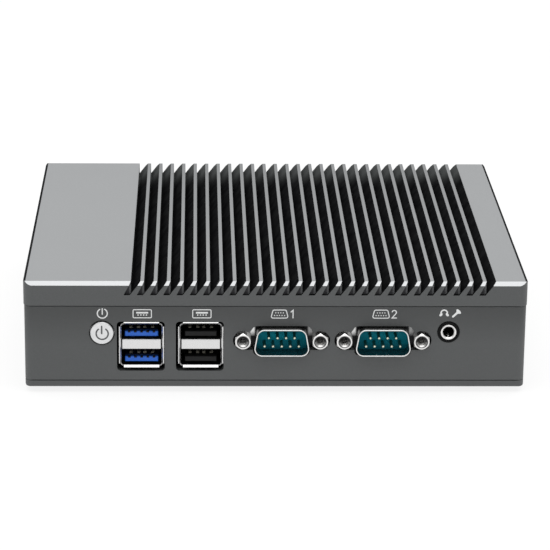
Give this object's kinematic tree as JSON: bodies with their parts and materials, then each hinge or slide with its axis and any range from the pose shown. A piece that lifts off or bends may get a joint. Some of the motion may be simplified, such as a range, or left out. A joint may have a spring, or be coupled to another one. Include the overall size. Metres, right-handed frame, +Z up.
{
  "type": "mini pc",
  "caption": "Fanless mini computer: low metal box with a finned heatsink lid, front USB, serial and audio sockets, a round power button and rear power, video and network sockets.",
  "frame": {"origin": "centre of the footprint, on the surface the rubber feet stand on", "axes": "+X to the right seen from the front panel, +Y from the front panel to the rear, +Z up"},
  "size_m": [0.1628, 0.1486, 0.0377],
  "materials": {
    "lid_aluminium": "machined and anodised, fine brushing on the flats, dark in the slots",
    "body_paint": "fine satin powder coat, dark grey",
    "cover_paint": "fine satin powder coat, dark grey",
    "screw_steel": "zinc plated",
    "foot_rubber": "matte",
    "button_metal": "bead blasted, silver",
    "switch_plastic": "moulded black",
    "shell_steel": "bright nickel plated sheet",
    "insulator_blue": "moulded blue",
    "insulator_black": "moulded black",
    "insulator_teal": "moulded teal",
    "contact_gold": "gold plated",
    "nickel": "nickel plated",
    "board_green": "solder mask",
    "chip_black": "moulded epoxy",
    "copper": "bare copper",
    "thermal_pad": "soft matte",
    "video_blue": "moulded blue",
    "white_plastic": "moulded natural",
    "capacitor_can": "drawn can"
  },
  "bodies": {
    "chassis": {"heatsink_lid": "lid_aluminium", "front_panel": "body_paint", "rear_panel": "body_paint", "side_wall_left": "body_paint", "side_wall_right": "body_paint", "bottom_cover": "cover_paint", "case_screws": "screw_steel", "rubber_feet": "foot_rubber", "power_switch_body": "switch_plastic", "usb3_shell": "shell_steel", "usb3_insulator": "insulator_blue", "usb3_contacts": "contact_gold", "usb2_shell": "shell_steel", "usb2_insulator": "insulator_black", "usb2_contacts": "contact_gold", "com1_shell": "shell_steel", "com1_insulator": "insulator_teal", "com1_pins": "contact_gold", "com1_jackscrews": "nickel", "com2_shell": "shell_steel", "com2_insulator": "insulator_teal", "com2_pins": "contact_gold", "com2_jackscrews": "nickel", "vga_shell": "shell_steel", "vga_insulator": "video_blue", "vga_jackscrews": "nickel", "audio_jack_housing": "insulator_black", "audio_jack_ring": "nickel", "audio_jack_contacts": "contact_gold", "dc_jack_housing": "insulator_black", "dc_jack_pin": "nickel", "hdmi_shell": "shell_steel", "hdmi_insulator": "insulator_black", "hdmi_contacts": "contact_gold", "lan1_shell": "shell_steel", "lan1_insert": "insulator_black", "lan1_contacts": "contact_gold", "lan2_shell": "shell_steel", "lan2_insert": "insulator_black", "lan2_contacts": "contact_gold", "motherboard_pcb": "board_green", "board_standoffs": "nickel", "board_screws": "screw_steel", "cpu_package": "chip_black", "heat_spreader": "copper", "thermal_pad": "thermal_pad", "memory_socket": "insulator_black", "memory_module": "board_green", "ssd_socket": "insulator_black", "ssd_module": "board_green", "ssd_post_screw": "nickel", "cell_holder": "white_plastic", "coin_cell": "nickel", "power_inductors": "chip_black", "bulk_capacitors": "capacitor_can", "drive_connector": "insulator_black", "board_chips": "chip_black"},
    "power_button": {"power_button_cap": "button_metal", "power_switch_plunger": "switch_plastic"}
  },
  "joints": [
    {"name": "power_button_press", "type": "slide", "parent": "chassis", "child": "power_button", "axis": [0, 1, 0], "range_m": [0, 0.0005], "stiffness_N_per_m": 1500, "springref_m": -0.0004}
  ]
}
